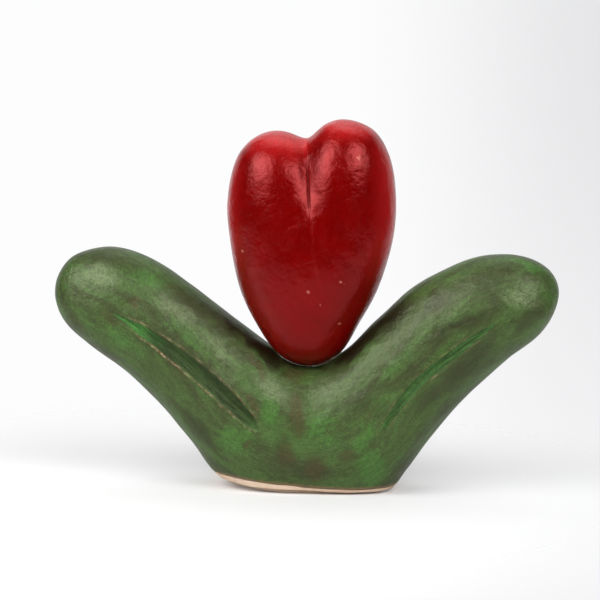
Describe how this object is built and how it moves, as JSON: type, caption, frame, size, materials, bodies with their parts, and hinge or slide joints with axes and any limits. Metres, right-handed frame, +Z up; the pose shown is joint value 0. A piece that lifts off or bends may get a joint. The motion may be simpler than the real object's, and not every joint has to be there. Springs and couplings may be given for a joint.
{
  "type": "ceramic tulip ornament",
  "caption": "Glazed ceramic tulip ornament: a heart-shaped red bud glued in the saddle between thick spreading green leaves, standing on a bare clay foot.",
  "frame": {"origin": "on the surface it stands on, under the middle of the whole piece", "axes": "+Z up, +X along the leaves towards the taller lobe of the bud, -Y towards the viewer of the front"},
  "size_m": [0.2438, 0.0574, 0.177],
  "materials": {
    "green_glaze": "satin",
    "red_glaze": "gloss",
    "bare_clay": "matte",
    "clear_glue": "gloss",
    "pin_wood": "matte"
  },
  "bodies": {
    "root": {"leaf_body": "green_glaze", "foot_slab": "bare_clay", "bud_shell": "red_glaze", "glue_bead": "clear_glue", "locating_pin": "pin_wood"}
  },
  "joints": []
}
